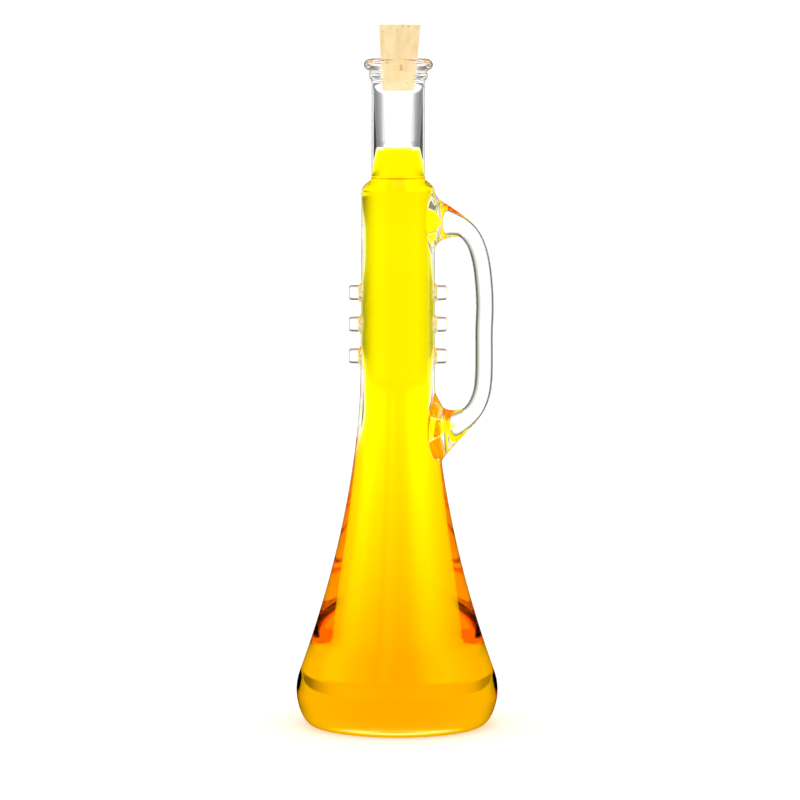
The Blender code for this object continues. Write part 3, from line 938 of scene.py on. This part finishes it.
def cork_material():
    """Cream cork with soft blotches, faint upright grain and small darker pores."""
    material, tree, shader = new_material("natural_cork")
    place = tree.nodes.new("ShaderNodeTexCoord").outputs["Object"]
    blotches = range_node(tree, noise_node(tree, place, 170.0, 3.0), 0.3, 0.7, 0.0, 1.0)
    grain = range_node(tree, noise_node(tree, place, 420.0, 4.0, (1.0, 1.0, 0.25)), 0.35, 0.7, 0.0, 1.0)
    bend = noise_node(tree, place, 900.0, 2.0)
    cells = tree.nodes.new("ShaderNodeTexVoronoi")
    cells.inputs["Scale"].default_value = 260.0
    tree.links.new(place, cells.inputs["Vector"])
    size = math_node(tree, "MULTIPLY_ADD", bend, 0.4, -0.14)
    pores = range_node(tree, math_node(tree, "SUBTRACT", cells.outputs["Distance"], size), 0.0, 0.1, 1.0, 0.0)
    tone = math_node(tree, "ADD", math_node(tree, "MULTIPLY", blotches, 0.6), math_node(tree, "MULTIPLY", grain, 0.4))
    base = colour_mix(tree, tone, CORK_DARK, CORK_LIGHT)
    tree.links.new(colour_mix(tree, pores, base, CORK_PORE), shader.inputs["Base Color"])
    shader.inputs["Roughness"].default_value = 0.85
    bump = tree.nodes.new("ShaderNodeBump")
    bump.inputs["Strength"].default_value = 0.6
    bump.inputs["Distance"].default_value = 0.15 * MM
    height = math_node(tree, "SUBTRACT", math_node(tree, "MULTIPLY", grain, 0.4), pores)
    tree.links.new(height, bump.inputs["Height"])
    tree.links.new(bump.outputs["Normal"], shader.inputs["Normal"])
    return material


def floor_material():
    material, tree, shader = new_material("pale_floor")
    shader.inputs["Base Color"].default_value = (0.72, 0.72, 0.72, 1.0)
    shader.inputs["Roughness"].default_value = 0.6
    place = tree.nodes.new("ShaderNodeTexCoord").outputs["Object"]
    length = tree.nodes.new("ShaderNodeVectorMath")
    length.operation = "LENGTH"
    tree.links.new(place, length.inputs[0])
    # Painted light: near the bottle the floor's emission turns warm and stronger, a painted pool of the light that
    # passes through the drink onto the floor, which also lightens the shade round the base
    away = range_node(tree, length.outputs["Value"], PAINTED_LIGHT_NEAR, PAINTED_LIGHT_FAR, 0.0, 1.0)
    tree.links.new(colour_mix(tree, away, PAINTED_LIGHT_COLOUR, (1.0, 1.0, 1.0)), shader.inputs["Emission Color"])
    shader.inputs["Emission Strength"].default_value = FLOOR_GLOW
    return material


def build_floor():
    bpy.ops.mesh.primitive_plane_add(size=FLOOR_SIZE)
    floor = bpy.context.object
    floor.name = "floor"
    floor.data.materials.append(floor_material())
    floor.visible_glossy = False
    floor.visible_transmission = False


def window(tree, value, rise, fall):
    """1 between two smooth edges, and 0 below the first and above the second."""
    return math_node(
        tree,
        "MULTIPLY",
        range_node(tree, value, *rise, 0.0, 1.0),
        range_node(tree, value, *fall, 1.0, 0.0),
    )


def side_ramp(tree, side, stops):
    """Light by the angle to the side, as in DRINK_SIDES."""
    ramp = tree.nodes.new("ShaderNodeValToRGB")
    tree.links.new(math_node(tree, "MULTIPLY_ADD", side, 1 / math.pi, 0.5), ramp.inputs["Fac"])
    elements = ramp.color_ramp.elements
    elements.remove(elements[1])
    elements[0].position = 0.0
    for degrees, light in stops:
        position = 0.5 + degrees / 180
        element = elements.new(position) if position > 0 else elements[0]
        element.color = (light, light, light, 1.0)
    return ramp.outputs["Color"]


def build_world():
    """A white studio with dark gaps between the screen behind the bottle and the lights beside it."""
    world = bpy.data.worlds.new("studio")
    bpy.context.scene.world = world
    world.use_nodes = True
    world.cycles_visibility.glossy = False
    tree = world.node_tree
    back = tree.nodes["Background"]
    back.inputs["Color"].default_value = (1.0, 1.0, 1.0, 1.0)
    place = tree.nodes.new("ShaderNodeTexCoord")
    split = tree.nodes.new("ShaderNodeSeparateXYZ")
    tree.links.new(place.outputs["Generated"], split.inputs["Vector"])
    x, y, z = split.outputs
    side = math_node(tree, "ARCTAN2", x, math_node(tree, "ABSOLUTE", y))
    paths = tree.nodes.new("ShaderNodeLightPath")
    mirrored = math_node(tree, "GREATER_THAN", paths.outputs["Glossy Depth"], 0.5)
    scattered = math_node(tree, "GREATER_THAN", paths.outputs["Diffuse Depth"], 0.5)
    through_glass = math_node(tree, "GREATER_THAN", paths.outputs["Transmission Depth"], 0.5)
    through_drink = math_node(tree, "GREATER_THAN", paths.outputs["Transmission Depth"], 2.5)
    low = mix_node(tree, range_node(tree, z, *LOW_TOP, 0.0, 1.0), side_ramp(tree, side, LOW_SIDES), LOW_PLAIN)
    in_gap = window(tree, z, GAP_BOTTOM, GAP_TOP)
    by_drink = mix_node(tree, in_gap, low, side_ramp(tree, side, DRINK_SIDES))
    ceiling = range_node(tree, z, *SKY_FADE, 1.0, SKY_SEEN)
    below = range_node(tree, z, *SHADE_FADE, SHADE_SEEN, 1.0)
    ends = math_node(tree, "MULTIPLY", ceiling, below)
    by_mirror = mix_node(
        tree, window(tree, z, MIRROR_BOTTOM, MIRROR_TOP), HORIZON_LIGHT, side_ramp(tree, side, MIRRORED_SIDES)
    )
    by_glass = mix_node(tree, mirrored, side_ramp(tree, side, CLEAR_SIDES), by_mirror)
    by_glass = math_node(tree, "MULTIPLY", by_glass, ends)
    by_drink = mix_node(tree, mirrored, by_drink, HORIZON_LIGHT)
    clear = mix_node(tree, through_glass, HORIZON_LIGHT, mix_node(tree, through_drink, by_glass, by_drink))
    overhead = range_node(tree, z, 0.3, 0.9, HORIZON_LIGHT, OVERHEAD_LIGHT)
    boost = math_node(tree, "MULTIPLY_ADD", through_glass, LIT_THROUGH_GLASS - 1.0, 1.0)
    lighting = math_node(tree, "MULTIPLY", overhead, boost)
    tree.links.new(mix_node(tree, scattered, clear, lighting), back.inputs["Strength"])


def build_camera():
    data = bpy.data.cameras.new("camera")
    data.lens = CAMERA_LENS
    data.sensor_width = 36.0
    data.shift_x = CAMERA_SHIFT
    data.clip_end = 100.0
    camera = bpy.data.objects.new("camera", data)
    camera.location = (0.0, -CAMERA_DISTANCE, CAMERA_HEIGHT)
    tilt = Euler((math.pi / 2 - CAMERA_TILT, 0.0, 0.0)).to_matrix()
    roll = Euler((0.0, 0.0, CAMERA_ROLL)).to_matrix()
    camera.rotation_euler = (tilt @ roll).to_euler()
    bpy.context.scene.collection.objects.link(camera)
    bpy.context.scene.camera = camera


def set_light_paths():
    cycles = bpy.context.scene.cycles
    cycles.max_bounces = 40
    cycles.transmission_bounces = 40
    cycles.glossy_bounces = 24
    cycles.diffuse_bounces = 4
    cycles.volume_bounces = 0
    cycles.transparent_max_bounces = 16
    view = bpy.context.scene.view_settings
    view.view_transform = "Standard"
    view.look = "None"


build_glass(glass_material("clear_glass", False), glass_material("wetted_glass", True))
build_drink(drink_material())
build_cork(cork_material())
build_floor()
build_world()
build_camera()
set_light_paths()
